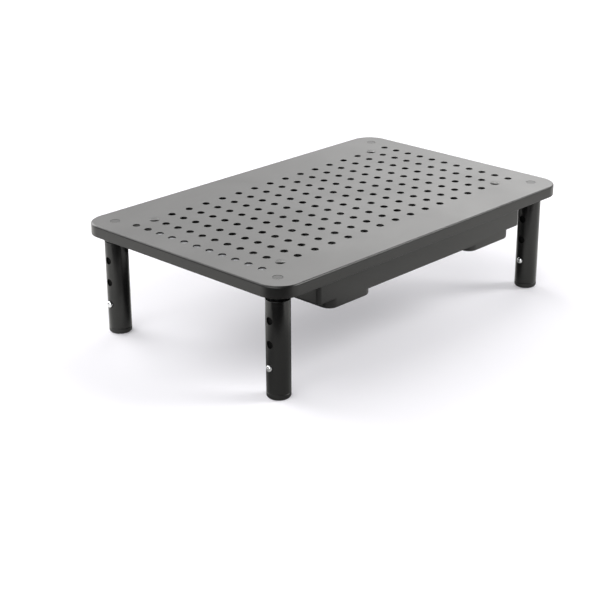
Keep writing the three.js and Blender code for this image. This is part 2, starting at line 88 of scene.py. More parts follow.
class Slot(Enum):
    """The record's material slots."""

    SATIN_BLACK = "satin_black"
    TUBE_BLACK = "tube_black"
    INNER_BLACK = "inner_black"
    NUT_BLACK = "nut_black"
    BLACK_PLASTIC = "black_plastic"
    DRAWER_BLACK = "drawer_black"
    CHROME = "chrome"
    SPRING_STEEL = "spring_steel"
    ZINC = "zinc"
    LIGHT_STRIP = "light_strip"


class Operation(Enum):
    """What a boolean does with its second solid."""

    UNION = "UNION"
    DIFFERENCE = "DIFFERENCE"
    INTERSECT = "INTERSECT"


@dataclass(frozen=True)
class Box:
    """A box in the frame, from its lowest to its highest corner."""

    low: Vector
    high: Vector

    @classmethod
    def of(cls, node: str) -> "Box":
        """The box of a CAD node at rest."""
        return cls(*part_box(node))

    @property
    def centre(self) -> Vector:
        """The middle of the box."""
        return (self.low + self.high) / 2

    @property
    def axis(self) -> Vector:
        """The point of the floor right below the middle."""
        return Vector((self.centre.x, self.centre.y, 0))

    @property
    def size(self) -> Vector:
        """The lengths of the box."""
        return self.high - self.low


# Mesh work that several pieces share


def quarter(centre: Pair, reach: Pair, steps: int) -> Profile:
    """Draws a quarter of an ellipse, from beside its centre to above it.

    Args:
        centre: The ellipse's centre.
        reach: Its half widths sideways and upwards, negative for the other side.
        steps: Facets of the arc.

    Returns:
        The arc's points, both ends included.
    """
    angles = [QUARTER * step / steps for step in range(steps + 1)]
    return [
        (centre[0] + reach[0] * math.cos(angle), centre[1] + reach[1] * math.sin(angle))
        for angle in angles
    ]


def rounded(corners: Profile, radius: float, steps: int) -> Profile:
    """Rounds the inner corners of an open profile.

    Args:
        corners: The profile's points, its two ends included.
        radius: The rounding, less where a side is short.
        steps: Facets of each rounding.

    Returns:
        The profile with its corners replaced by arcs.
    """
    line = [corners[0]]
    for before, here, after in zip(corners, corners[1:], corners[2:]):
        corner = Vector(here)
        back, ahead = Vector(before) - corner, Vector(after) - corner
        half = back.angle(ahead) / 2
        reach = min(radius / math.tan(half), back.length / 2, ahead.length / 2)
        arm = reach * math.tan(half)
        bisector = (back.normalized() + ahead.normalized()).normalized()
        centre = corner + bisector * (arm / math.sin(half))
        start = corner + back.normalized() * reach - centre
        end = corner + ahead.normalized() * reach - centre
        turn = start.angle_signed(end)
        for step in range(steps + 1):
            point = centre + Matrix.Rotation(-turn * step / steps, 2) @ start
            line.append((point.x, point.y))
    line.append(corners[-1])
    return line


def spun(profile: Profile, steps: int, closed: bool = False) -> Body:
    """Turns a profile about the Z axis.

    Args:
        profile: Radius and height of each point.
        steps: Facets round the axis.
        closed: Whether the last point joins the first, as in a tube.

    Returns:
        The turned body.
    """
    bm = bmesh.new()
    verts = [bm.verts.new((radius, 0, height)) for radius, height in profile]
    edges = [bm.edges.new(pair) for pair in zip(verts, verts[1:])]
    if closed:
        edges.append(bm.edges.new((verts[-1], verts[0])))
    turn = {"cent": (0, 0, 0), "axis": (0, 0, 1), "angle": 2 * math.pi, "steps": steps}
    bmesh.ops.spin(bm, geom=verts + edges, use_merge=True, **turn)
    bmesh.ops.remove_doubles(bm, verts=bm.verts, dist=SAME)
    bmesh.ops.recalc_face_normals(bm, faces=bm.faces)
    return bm


def extruded(outline: Profile, start: float, end: float) -> Body:
    """Draws an outline in X and Z out along Y.

    Args:
        outline: The points of the outline.
        start: Lowest Y.
        end: Highest Y.

    Returns:
        The prism.
    """
    bm = bmesh.new()
    face = bm.faces.new([bm.verts.new((x, start, z)) for x, z in outline])
    grown = bmesh.ops.extrude_face_region(bm, geom=[face], use_keep_orig=True)
    fresh = [item for item in grown["geom"] if isinstance(item, Vert)]
    bmesh.ops.translate(bm, verts=fresh, vec=(0, end - start, 0))
    bmesh.ops.recalc_face_normals(bm, faces=bm.faces)
    return bm


def block(box: Box) -> Body:
    """Makes a plain block that other shapes are cut from.

    Args:
        box: The space that it fills.

    Returns:
        The block.
    """
    bm = bmesh.new()
    place = Matrix.Translation(box.centre) @ Matrix.Diagonal((*box.size, 1))
    bmesh.ops.create_cube(bm, size=1, matrix=place)
    return bm


def cylinder(radius: float, depth: float, steps: int) -> Body:
    """Makes an upright cylinder round the origin.

    Args:
        radius: Its radius, to the corners of its facets.
        depth: Its height.
        steps: Its facets, 6 for a hexagon.

    Returns:
        The closed cylinder.
    """
    bm = bmesh.new()
    radii = {"radius1": radius, "radius2": radius}
    bmesh.ops.create_cone(bm, cap_ends=True, segments=steps, depth=depth, **radii)
    return bm


def upright(bm: Body) -> list[Edge]:
    """The edges of a body that run along Z."""
    ways = [(edge, (edge.verts[0].co - edge.verts[1].co).normalized()) for edge in bm.edges]
    return [edge for edge, way in ways if abs(way.z) > UPRIGHT_RISE]


def level(bm: Body, height: float) -> list[Edge]:
    """The edges of a body that lie at a height."""
    return [edge for edge in bm.edges if all(abs(vert.co.z - height) < SAME for vert in edge.verts)]


def softened(bm: Body, chosen: list[Edge] | list[Vert], radius: float, steps: int) -> Body:
    """Rounds edges of a body, or the corners of a flat one.

    Args:
        bm: The body, changed in place.
        chosen: The edges, or the corners, that are rounded.
        radius: The rounding.
        steps: Facets of the rounding.

    Returns:
        The same body.
    """
    edges = isinstance(chosen[0], Edge)
    kind = {"affect": "EDGES" if edges else "VERTICES", "clamp_overlap": edges, "material": -1}
    size = {"offset": radius, "offset_type": "OFFSET", "segments": steps, "profile": TRUE_ARC}
    bmesh.ops.bevel(bm, geom=chosen, **size, **kind)
    return bm


def moved(bm: Body, shift: Vector | Triple) -> Body:
    """Moves a whole body and hands it back."""
    bmesh.ops.translate(bm, verts=bm.verts, vec=Vector(shift))
    return bm


def turned(bm: Body, angle: float, axis: str) -> Body:
    """Turns a whole body about an axis through the origin and hands it back."""
    bmesh.ops.rotate(bm, verts=bm.verts, matrix=Matrix.Rotation(angle, 3, axis))
    return bm


def as_mesh(name: str, bm: Body) -> bpy.types.Mesh:
    """Turns a body into a mesh.

    Args:
        name: The mesh's name.
        bm: The body, freed here.

    Returns:
        The mesh.
    """
    mesh = bpy.data.meshes.new(name)
    bm.to_mesh(mesh)
    bm.free()
    return mesh


def in_scene(name: str, data: bpy.types.ID) -> bpy.types.Object:
    """Adds an object to the scene.

    Args:
        name: The object's name.
        data: Its mesh or camera.

    Returns:
        The new object.
    """
    made = bpy.data.objects.new(name, data)
    bpy.context.scene.collection.objects.link(made)
    return made


def combined(base: Body, tools: Sequence[Body], operation: Operation) -> Body:
    """Joins, cuts or crosses solids one after another.

    Args:
        base: The solid that is kept.
        tools: The solids that it is joined with or cut by.
        operation: What each tool does.

    Returns:
        The resulting solid.
    """
    holders = [in_scene("tool", as_mesh("tool", body)) for body in [base, *tools]]
    for tool in holders[1:]:
        step = holders[0].modifiers.new("combine", "BOOLEAN")
        step.operation = operation.value
        step.solver = "MANIFOLD"
        step.object = tool
    result = bmesh.new()
    result.from_object(holders[0], bpy.context.evaluated_depsgraph_get())
    for holder in holders:
        bpy.data.meshes.remove(holder.data)
    bmesh.ops.remove_doubles(result, verts=result.verts, dist=SEAM)
    return result


def make_piece(
    name: str, bm: Body, slot: Slot, body: str, node: str, sharp: float = 30
) -> bpy.types.Object:
    """Turns a finished body into a piece that rides on the frame.

    Args:
        name: The piece's name.
        bm: Its mesh in frame coordinates, freed here.
        slot: The finish that it takes.
        body: The CAD body that it rides on.
        node: The CAD node that it stands for.
        sharp: Edges that turn by more than this many degrees stay sharp.

    Returns:
        The new object.
    """
    bmesh.ops.recalc_face_normals(bm, faces=bm.faces)
    mesh = as_mesh(name, bm)
    mesh.shade_smooth()
    mesh.set_sharp_from_angle(angle=math.radians(sharp))
    mesh.materials.append(bpy.data.materials[slot.value])
    piece = in_scene(name, mesh)
    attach(piece, body)
    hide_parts(node)
    LOG.info("%s: %d faces on %s", name, len(mesh.polygons), body)
    return piece


def bevelled(piece: bpy.types.Object, width: float, harden: bool = False) -> None:
    """Gives a piece a live bevel on its sharp edges.

    Args:
        piece: The piece.
        width: The bevel's width.
        harden: Whether the flat faces beside it keep their shading.
    """
    bevel = piece.modifiers.new("edges", "BEVEL")
    bevel.width = width
    bevel.segments = LIVE_STEPS
    bevel.limit_method = "ANGLE"
    bevel.angle_limit = LIVE_ANGLE
    bevel.harden_normals = harden


# Finishes


class NodeWriter:
    """Writes nodes and links into one shader node tree."""

    def __init__(self, tree: bpy.types.NodeTree) -> None:
        """Starts from an empty tree."""
        self.tree = tree
        tree.nodes.clear()

    def fill(self, node: Node, values: Inputs) -> None:
        """Sets or links a node's inputs.

        Args:
            node: The node.
            values: Values, or sockets to link from, by input name or number.
        """
        for key, value in values.items():
            if isinstance(value, Socket):
                self.tree.links.new(value, node.inputs[key])
            else:
                node.inputs[key].default_value = value

    def node(
        self, kind: str, values: Inputs | None = None, **settings: object
    ) -> Node:
        """Adds a node.

        Args:
            kind: The node's type.
            values: What its inputs are filled with.
            **settings: Settings of the node itself.

        Returns:
            The new node.
        """
        made = self.tree.nodes.new(kind)
        for key, value in settings.items():
            setattr(made, key, value)
        self.fill(made, values or {})
        return made

    def group(self, name: str, values: Inputs | None = None) -> Node:
        """Places a shared node group and hands it back."""
        return self.node("ShaderNodeGroup", values, node_tree=bpy.data.node_groups[name])

    def place(self) -> Socket:
        """The place on the surface in object coordinates."""
        return self.node("ShaderNodeTexCoord").outputs["Object"]

    def maths(self, operation: str, *values: Socket | float) -> Socket:
        """Adds a Math node and hands back its result."""
        return self.node("ShaderNodeMath", dict(enumerate(values)), operation=operation).outputs[0]

    def mixed(
        self, factor: Socket, first: Socket | Sequence[float], second: Socket | Sequence[float]
    ) -> Socket:
        """Mixes two colours, by the numbers of the Mix node's colour sockets."""
        inputs = {0: factor, 6: first, 7: second}
        return self.node("ShaderNodeMix", inputs, data_type="RGBA").outputs[2]

    def noise(self, place: Socket, scale: Socket, **shape: float) -> Socket:
        """Adds a noise of this scale and shape, and hands back its value."""
        inputs = {"Vector": place, "Scale": scale, **shape}
        return self.node("ShaderNodeTexNoise", inputs).outputs["Fac"]

    def dot(self, way: Socket, aim: Triple) -> Socket:
        """How far a vector reaches in a direction."""
        values = {0: way, 1: aim}
        return self.node("ShaderNodeVectorMath", values, operation="DOT_PRODUCT").outputs["Value"]

    def ramp(
        self,
        value: Socket,
        span: Pair,
        levels: Pair = (0.0, 1.0),
        smooth: bool = True,
    ) -> Socket:
        """Runs from one level to another while a value runs over a span.

        Args:
            value: The value.
            span: Where the run starts and ends.
            levels: The levels before and after it.
            smooth: Whether it starts and ends softly.

        Returns:
            The level.
        """
        inputs = {"Value": value, "From Min": span[0], "From Max": span[1]}
        inputs |= {"To Min": levels[0], "To Max": levels[1]}
        kind = "SMOOTHSTEP" if smooth else "LINEAR"
        return self.node("ShaderNodeMapRange", inputs, interpolation_type=kind).outputs["Result"]

    def bump(self, strength: Socket, distance: Socket | float, height: Socket) -> Socket:
        """Turns a height into a normal."""
        values = {"Strength": strength, "Distance": distance, "Height": height}
        return self.node("ShaderNodeBump", values).outputs["Normal"]

    def shaded(self, values: Inputs) -> None:
        """Ends a material with a Principled shader of these inputs."""
        shader = self.node("ShaderNodeBsdfPrincipled", values)
        self.node("ShaderNodeOutputMaterial", {"Surface": shader.outputs["BSDF"]})


def new_material(name: str) -> NodeWriter:
    """Starts a material.

    Args:
        name: The material's name.

    Returns:
        The writer of its empty node tree.
    """
    material = bpy.data.materials.new(name)
    material.use_nodes = True
    return NodeWriter(material.node_tree)


def new_group(
    name: str, inputs: dict[str, float], outputs: dict[str, str]
) -> tuple[NodeWriter, Node, Node]:
    """Starts a shader node group.

    Args:
        name: The group's name.
        inputs: Its inputs with their usual values.
        outputs: Its outputs with their socket types.

    Returns:
        The tree's writer, its input node and its output node.
    """
    tree = bpy.data.node_groups.new(name, "ShaderNodeTree")
    for key, value in inputs.items():
        socket = tree.interface.new_socket(key, in_out="INPUT", socket_type="NodeSocketFloat")
        socket.default_value = value
    for key, kind in outputs.items():
        tree.interface.new_socket(key, in_out="OUTPUT", socket_type=kind)
    writer = NodeWriter(tree)
    return writer, writer.node("NodeGroupInput"), writer.node("NodeGroupOutput")


def opaque(colour: Triple, gain: float = 1.0, lift: float = 0.0) -> tuple[float, ...]:
    """A colour for a socket, made darker or lighter."""
    return (*(value * gain + lift for value in colour), 1.0)


def grain_group() -> None:
    """Makes the fine bumps of paint or moulded plastic, as a normal and a mask."""
    peel_scale, peel_height = 0.21, 0.6  # of the wider waves, to those of the grain
    writer, given, out = new_group(
        "fine_grain",
        {"Scale": 900.0, "Depth": 0.02 * MM, "Strength": 0.3},
        {"Normal": "NodeSocketVector", "Mask": "NodeSocketFloat"},
    )
    scale, place = given.outputs["Scale"], writer.place()
    fine = writer.noise(place, scale, Detail=3.0, Roughness=0.55)
    wide = writer.maths("MULTIPLY", scale, peel_scale)
    peel = writer.noise(place, wide, Detail=1.0, Roughness=0.4)
    height = writer.maths("ADD", fine, writer.maths("MULTIPLY", peel, peel_height))
    normal = writer.bump(given.outputs["Strength"], given.outputs["Depth"], height)
    writer.fill(out, {"Normal": normal, "Mask": fine})


def handling_group() -> None:
    """Makes broad, faint marks of handling and dust, as two masks."""
    speck_scale = 60.0  # of the dust, to that of the marks
    speck = (0.03, 0.09)  # a speck's inner and outer radius, in cells of that scale
    writer, given, out = new_group(
        "handling", {"Scale": 14.0}, {"Smudge": "NodeSocketFloat", "Dust": "NodeSocketFloat"}
    )
    scale, place = given.outputs["Scale"], writer.place()
    smudge = writer.noise(place, scale, Detail=4.0, Distortion=0.6)
    small = writer.maths("MULTIPLY", scale, speck_scale)
    cells = writer.node("ShaderNodeTexVoronoi", {"Vector": place, "Scale": small})
    dust = writer.ramp(cells.outputs["Distance"], speck, (1.0, 0.0), smooth=False)
    writer.fill(out, {"Smudge": smudge, "Dust": dust})


def brushing_group() -> None:
    """Makes the fine parallel scratches of drawn or plated metal, as a normal and a mask."""
    stretch = (1.0, 1.0, 0.06)  # the scratches run along Z
    depth = 0.02 * MM
    writer, given, out = new_group(
        "brushing",
        {"Scale": 300.0, "Strength": 0.15},
        {"Normal": "NodeSocketVector", "Mask": "NodeSocketFloat"},
    )
    drawn = writer.node("ShaderNodeMapping", {"Vector": writer.place(), "Scale": stretch})
    lines = writer.noise(drawn.outputs["Vector"], given.outputs["Scale"], Detail=5.0)
    normal = writer.bump(given.outputs["Strength"], depth, lines)
    writer.fill(out, {"Normal": normal, "Mask": lines})


@dataclass(frozen=True)
class Coat:
    """A finish of paint, powder or plastic: dark, with a fine grain and faint handling marks."""

    slot: Slot
    colour: Triple
    roughness: float
    specular: float = 0.5
    grain_scale: float = 900.0
    grain_depth: float = 0.02 * MM
    grain_strength: float = 0.3
    mottle: float = 0.14
    spread: float = 0.05
    dust: float = 0.03
    dust_lift: float = 0.1

    def build(self) -> None:
        """Makes the material."""
        writer = new_material(self.slot.value)
        grain = writer.group(
            "fine_grain",
            {"Scale": self.grain_scale, "Depth": self.grain_depth, "Strength": self.grain_strength},
        )
        marks = writer.group("handling")
        darker = opaque(self.colour, 1 - self.mottle)
        lighter = opaque(self.colour, 1 + self.mottle)
        mottled = writer.mixed(grain.outputs["Mask"], darker, lighter)
        dust = writer.maths("MULTIPLY", marks.outputs["Dust"], self.dust)
        levels = (self.roughness - self.spread, self.roughness + self.spread)
        inputs = {
            "Base Color": writer.mixed(dust, mottled, opaque(self.colour, lift=self.dust_lift)),
            "Roughness": writer.ramp(marks.outputs["Smudge"], (0.0, 1.0), levels, smooth=False),
            "Specular IOR Level": self.specular,
            "Normal": grain.outputs["Normal"],
        }
        writer.shaded(inputs)


@dataclass(frozen=True)
class Metal:
    """A bare or plated metal with fine scratches."""

    slot: Slot
    colour: Triple
    roughness: float
    brushing: float
    scale: float = 300.0
    darkest: float = 0.8
    spread: float = 0.3

    def build(self) -> None:
        """Makes the material."""
        writer = new_material(self.slot.value)
        lines = writer.group("brushing", {"Scale": self.scale, "Strength": self.brushing})
        mask = lines.outputs["Mask"]
        colour = writer.mixed(mask, opaque(self.colour, self.darkest), opaque(self.colour))
        levels = (self.roughness * (1 - self.spread), self.roughness * (1 + self.spread))
        roughness = writer.ramp(mask, (0.0, 1.0), levels, smooth=False)
        inputs = {"Base Color": colour, "Metallic": 1.0, "Roughness": roughness}
        writer.shaded(inputs | {"Normal": lines.outputs["Normal"]})


FINISHES = (
    Coat(Slot.SATIN_BLACK, (0.006, 0.0058, 0.0056), 0.32),
    Coat(Slot.TUBE_BLACK, (0.003, 0.003, 0.003), 0.23, grain_scale=1400.0, grain_strength=0.2),
    # the inner tube's paint is a shaded copy of the outer tube's: it reflects almost nothing, as
    # painted shade for the tube seen through the outer tube's holes
    Coat(Slot.INNER_BLACK, (0.003, 0.003, 0.003), 0.5, 0.05, grain_scale=1400.0, dust=0.0),
    Coat(Slot.NUT_BLACK, (0.005, 0.005, 0.005), 0.38, 0.42, grain_scale=1800.0, dust=0.0),
    Coat(Slot.BLACK_PLASTIC, (0.004, 0.004, 0.004), 0.42, grain_scale=2200.0),
    Coat(Slot.DRAWER_BLACK, (0.008, 0.0078, 0.0076), 0.34, 0.46, grain_scale=1600.0),
    Coat(Slot.LIGHT_STRIP, (0.3, 0.305, 0.32), 0.6, grain_strength=0.1, dust=0.0),
    Metal(Slot.CHROME, (0.82, 0.83, 0.85), 0.1, 0.05, 900.0),
    Metal(Slot.SPRING_STEEL, (0.45, 0.46, 0.48), 0.3, 0.2),
    Metal(Slot.ZINC, (0.42, 0.43, 0.45), 0.38, 0.25, 500.0),
)


def build_finishes() -> None:
    """Makes the shared groups and every material, and gives the CAD nodes theirs."""
    grain_group()
    handling_group()
    brushing_group()
    names = {slot.value for slot in Slot}
    for old in [material for material in bpy.data.materials if material.name in names]:
        old.name = f"frame_{old.name}"
    for finish in FINISHES:
        finish.build()
    slots = {part["node"]: part["material_slot"] for part in frame["record"]["subparts"]}
    for name, node in frame["nodes"].items():
        for holder in node.material_slots:
            holder.material = bpy.data.materials[slots[name]]


# Platform


@dataclass
class Platform:
    """The pressed sheet with its turned-down rim and its grid of round holes."""

    sheet: float = 1.2 * MM
    plan_radius: float = 21 * MM
    bend: float = 1.6 * MM
    fold: float = 4 * MM
    hole_radius: float = 3.25 * MM
    nut_hole_radius: float = 4.3 * MM
    pitch: Pair = (20 * MM, 15 * MM)
    counts: tuple[int, int] = (17, 11)
    edge: float = 0.2 * MM
    edge_steps: int = 3
    hole_steps: int = 28
    bend_steps: int = 8
    corner_steps: int = 28

    def __post_init__(self) -> None:
        """Reads the overall size from the frame."""
        self.box = Box.of("platform")
        self.top = self.box.high.z
        self.under = self.top - self.sheet
        self.half = self.box.size / 2

    def holes(self) -> dict[float, list[Vector]]:
        """Places the grid's holes and the nuts' holes.

        Returns:
            The places of all holes of each radius.
        """
        across, along = (
            [(index - (count - 1) / 2) * pitch for index in range(count)]
            for count, pitch in zip(self.counts, self.pitch)
        )
        grid = [Vector((x, y, 0)) for x in across for y in along]
        nuts = [Box.of(corner.node("corner_nut")).axis for corner in Corner]
        return {self.hole_radius: grid, self.nut_hole_radius: nuts}

    def collar(self, radius: float) -> Body:
        """Makes the wall of one hole with its slightly rolled edges.

        Args:
            radius: The hole's radius.

        Returns:
            The wall, with a narrow flat ring of each skin.
        """
        soft, flat = self.edge, radius + 2 * self.edge
        upper = quarter((radius + soft, self.top - soft), (-soft, soft), self.edge_steps)[::-1]
        lower = [(r, self.top + self.under - z) for r, z in reversed(upper)]
        return spun([(flat, self.top), *upper, *lower, (flat, self.under)], self.hole_steps)

    def section(self) -> Profile:
        """Draws the rim's section.

        Returns:
            The outward place from the plan radius, and the height, of each point.
        """
        bend, soft, inner = self.bend, self.edge, self.bend - self.sheet
        flat = -bend - 2 * soft
        low = self.box.low.z
        high = low + self.sheet
        fold = -self.sheet - self.fold
        outside = quarter((-bend, self.top - bend), (bend, bend), self.bend_steps)[::-1]
        inside = quarter((-bend, self.under - inner), (inner, inner), self.bend_steps)
        foot = [(0, low + soft), (-soft, low), (fold + soft, low), (fold, low + soft)]
        foot += [(fold, high - soft), (fold + soft, high), (-self.sheet, high)]
        return [(flat, self.top), *outside, *foot, *inside, (flat, self.under)]

    def rim(self) -> Body:
        """Sweeps the section round the plan.

        Returns:
            The rim, open where the two skins begin.
        """
        bm = bmesh.new()
        bmesh.ops.create_grid(bm, x_segments=1, y_segments=1, size=1)
        bmesh.ops.scale(bm, verts=bm.verts, vec=(self.half.x, self.half.y, 1))
        softened(bm, bm.verts[:], self.plan_radius, self.corner_steps)
        bmesh.ops.delete(bm, geom=bm.faces[:], context="FACES_ONLY")
        loop = bm.edges[:]
        straight = (self.half.x - self.plan_radius, self.half.y - self.plan_radius)
        for index, (out, height) in enumerate(self.section()):
            if index:
                grown = bmesh.ops.extrude_edge_only(bm, edges=loop)["geom"]
                fresh = [item for item in grown if isinstance(item, Vert)]
                edges = [item for item in grown if isinstance(item, Edge)]
                loop = [edge for edge in edges if all(vert in fresh for vert in edge.verts)]
            else:
                fresh = bm.verts[:]
            for vert in fresh:
                flat = Vector((vert.co.x, vert.co.y, 0))
                near = Vector((*map(math.copysign, straight, flat.xy), 0))
                outward = (flat - near).normalized()
                vert.co = near + outward * (self.plan_radius + out)
                vert.co.z = height
        return bm

    def body(self) -> Body:
        """Joins the rim and the collars by the two flat skins.

        Returns:
            The whole sheet.
        """
        bm = bmesh.new()
        holes = [(radius, place) for radius, places in self.holes().items() for place in places]
        collars = [moved(self.collar(radius), place) for radius, place in holes]
        for part in [self.rim(), *collars]:
            mesh = as_mesh("part", part)
            bm.from_mesh(mesh)
            bpy.data.meshes.remove(mesh)
        for height in (self.top, self.under):
            rims = [edge for edge in level(bm, height) if edge.is_boundary]
            bmesh.ops.triangle_fill(bm, edges=rims, use_beauty=True, normal=(0, 0, 1))
        return bm

    def build(self) -> None:
        """Makes the piece."""
        body = self.body()
        make_piece("platform_sheet", body, Slot.SATIN_BLACK, "stand", "platform", sharp=40)


@dataclass
class Strip:
    """The light film stuck below the platform behind the first column of holes."""

    corner: float = 2 * MM
    steps: int = 8

    def build(self) -> None:
        """Makes the piece."""
        body = block(Box.of("underside_strip"))
        softened(body, upright(body), self.corner, self.steps)
        make_piece("strip_film", body, Slot.LIGHT_STRIP, "stand", "underside_strip")


# Legs


@dataclass
class Leg:
    """One telescopic leg with its cap, button, spring, plug and corner nut."""

    corner: Corner
    wall: float = 1.2 * MM
    edge: float = 0.3 * MM
    hole_radius: float = 3.2 * MM
    hole_pitch: float = 20 * MM
    hole_count: int = 3
    cap_edge: float = 2.6 * MM
    cap_groove: float = 0.35 * MM
    cap_wall: float = 2 * MM
    cap_play: float = 0.3 * MM
    button_collar: float = 0.9 * MM
    button_dome: float = 1.7 * MM
    button_play: float = 0.4 * MM
    spring_sheet: float = 0.6 * MM
    spring_bend: float = 2.2 * MM
    spring_drop: float = 7 * MM
    plug_depth: float = 12 * MM
    plug_flange: float = 2 * MM
    plug_boss: float = 4.6 * MM
    plug_stud: float = 3 * MM
    plug_play: float = 0.2 * MM
    nut_spigot: float = 4.2 * MM
    nut_bore: float = 3.3 * MM
    nut_closed: float = 2 * MM
    steps: int = 72
    edge_steps: int = 3
    hole_steps: int = 48
    cap_edge_steps: int = 10
    button_steps: int = 32
    dome_steps: int = 10
    spring_steps: int = 8

    def __post_init__(self) -> None:
        """Reads the places of the leg's pieces from the frame."""
        self.tube = Box.of(self.corner.node("outer_tube"))
        self.button = Box.of(self.corner.node("snap_button"))
        self.axis = self.tube.axis

    def piece(self, name: str, bm: Body, slot: Slot, body: str) -> None:
        """Puts a body made about the origin on the leg's axis."""
        node = self.corner.node(name)
        make_piece(node, moved(bm, self.axis), slot, body, node)

    def pierced(self, box: Box, count: int) -> Body:
        """Makes a tube with rolled ends and round holes on its left side.

        Args:
            box: The space that the tube fills.
            count: Its holes, the lowest of them at the button.

        Returns:
            The tube.
        """
        low, high, radius = box.low.z, box.high.z, box.size.x / 2
        bore = radius - self.wall
        start = (bore, (low + high) / 2)
        corners = [start, (bore, low), (radius, low), (radius, high), (bore, high), start]
        profile = rounded(corners, self.edge, self.edge_steps)[:-1]
        tube = spun(profile, self.steps, closed=True)
        cutters = []
        for index in range(count):
            height = self.button.centre.z + index * self.hole_pitch
            cutter = cylinder(self.hole_radius, 2 * radius, self.hole_steps)
            cutters.append(moved(turned(cutter, QUARTER, "Y"), (-1.5 * radius, 0, height)))
        return combined(tube, cutters, Operation.DIFFERENCE)

    def outer_tube(self) -> None:
        """The sliding tube with its row of holes."""
        body = self.pierced(self.tube, self.hole_count)
        self.piece("outer_tube", body, Slot.TUBE_BLACK, self.corner.node("leg"))

    def inner_tube(self) -> None:
        """The fixed tube with the button's hole."""
        body = self.pierced(Box.of(self.corner.node("inner_tube")), 1)
        self.piece("inner_tube", body, Slot.INNER_BLACK, "stand")

    def foot_cap(self) -> None:
        """The round-edged sole with its spigot."""
        box = Box.of(self.corner.node("foot_cap"))
        radius = box.size.x / 2
        seat, groove = self.tube.low.z, self.cap_groove
        spigot = radius - self.wall - self.cap_play
        hollow = spigot - self.cap_wall
        corners = [(0, 0), (radius, 0), (radius, seat - groove)]
        sole = rounded(corners, self.cap_edge, self.cap_edge_steps)
        shoulder = [(radius - groove, seat), (spigot, seat), (spigot, box.high.z - groove)]
        top = [(spigot - groove, box.high.z), (hollow, box.high.z), (hollow, seat), (0, seat)]
        body = spun([*sole, *shoulder, *top], self.steps)
        self.piece("foot_cap", body, Slot.BLACK_PLASTIC, self.corner.node("leg"))

    def snap_button(self) -> None:
        """The domed head, its shank and its collar."""
        near, far = (self.axis.x - self.button.high.x, self.axis.x - self.button.low.x)
        flange = self.button.size.z / 2
        shank = self.hole_radius - self.button_play
        seat = near + self.button_collar
        dome = self.button_dome
        head = quarter((0, far - dome), (shank, dome), self.dome_steps)[:-1]
        profile = [(0, near), (flange, near), (flange, seat), (shank, seat), *head, (0, far)]
        body = turned(spun(profile, self.button_steps), -QUARTER, "Y")
        moved(body, (0, 0, self.button.centre.z))
        self.piece("snap_button", body, Slot.CHROME, self.corner.node("button"))

    def button_spring(self) -> None:
        """The bent strip behind the button."""
        box = Box.of(self.corner.node("button_spring"))
        half = self.spring_sheet / 2
        near = box.low.x - self.axis.x + half
        far = box.high.x - self.axis.x - half
        turn = self.button.centre.z - self.spring_drop
        corners = [
            (near, self.button.centre.z + self.button.size.z / 2),
            (near, turn),
            (near + 2 * self.spring_bend + half, turn),
            (far, box.high.z),
        ]
        centre = rounded(corners, self.spring_bend, self.spring_steps)
        left, right = [], []
        for i, here in enumerate(centre):
            ahead = Vector(centre[min(i + 1, len(centre) - 1)])
            back = Vector(centre[max(i - 1, 0)])
            normal = (ahead - back).normalized().orthogonal() * half
            left.append(tuple(Vector(here) + normal))
            right.append(tuple(Vector(here) - normal))
        body = extruded([*left, *reversed(right)], -box.size.y / 2, box.size.y / 2)
        self.piece("button_spring", body, Slot.SPRING_STEEL, "stand")

    def leg_plug(self) -> None:
        """The plug that closes the inner tube, with its boss and its stud."""
        box = Box.of(self.corner.node("leg_plug"))
        low, high = box.low.z, box.high.z
        shoulder = Box.of(self.corner.node("corner_nut")).low.z
        outer = box.size.x / 2
        bore = outer - self.wall - self.plug_play
        seat = low + self.plug_depth
        ledge = seat + self.plug_flange
        boss, stud, soft = self.plug_boss, self.plug_stud, self.edge
        profile = [(0, low), (bore - soft, low), (bore, low + soft), (bore, seat)]
        profile += [(outer - soft, seat), (outer, seat + soft)]
        profile += [(outer, ledge - soft), (outer - soft, ledge)]
        profile += [(boss, ledge), (boss, shoulder - soft), (boss - soft, shoulder)]
        profile += [(stud, shoulder), (stud, high - soft), (stud - soft, high), (0, high)]
        self.piece("leg_plug", spun(profile, self.steps), Slot.BLACK_PLASTIC, "stand")

    def corner_nut(self) -> None:
        """The nut below the platform, its closed end flush with the top."""
        box = Box.of(self.corner.node("corner_nut"))
        low, high = box.low.z, box.high.z
        body = box.size.x / 2
        plate = Box.of("platform").high.z
        under = plate - Platform.sheet
        roof = plate - self.nut_closed
        bore, spigot, soft = self.nut_bore, self.nut_spigot, self.edge
        profile = [(0, roof), (bore, roof), (bore, low + soft), (bore + soft, low)]
        profile += [(body - soft, low), (body, low + soft)]
        profile += [(body, under - soft), (body - soft, under), (spigot, under)]
        profile += [(spigot, high - soft / 2), (spigot - soft / 2, high), (0, high)]
        self.piece("corner_nut", spun(profile, self.steps), Slot.NUT_BLACK, "stand")

    def build(self) -> None:
        """Makes every piece of the leg."""
        self.outer_tube()
        self.inner_tube()
        self.foot_cap()
        self.snap_button()
        self.button_spring()
        self.leg_plug()
        self.corner_nut()


# Drawer and rails


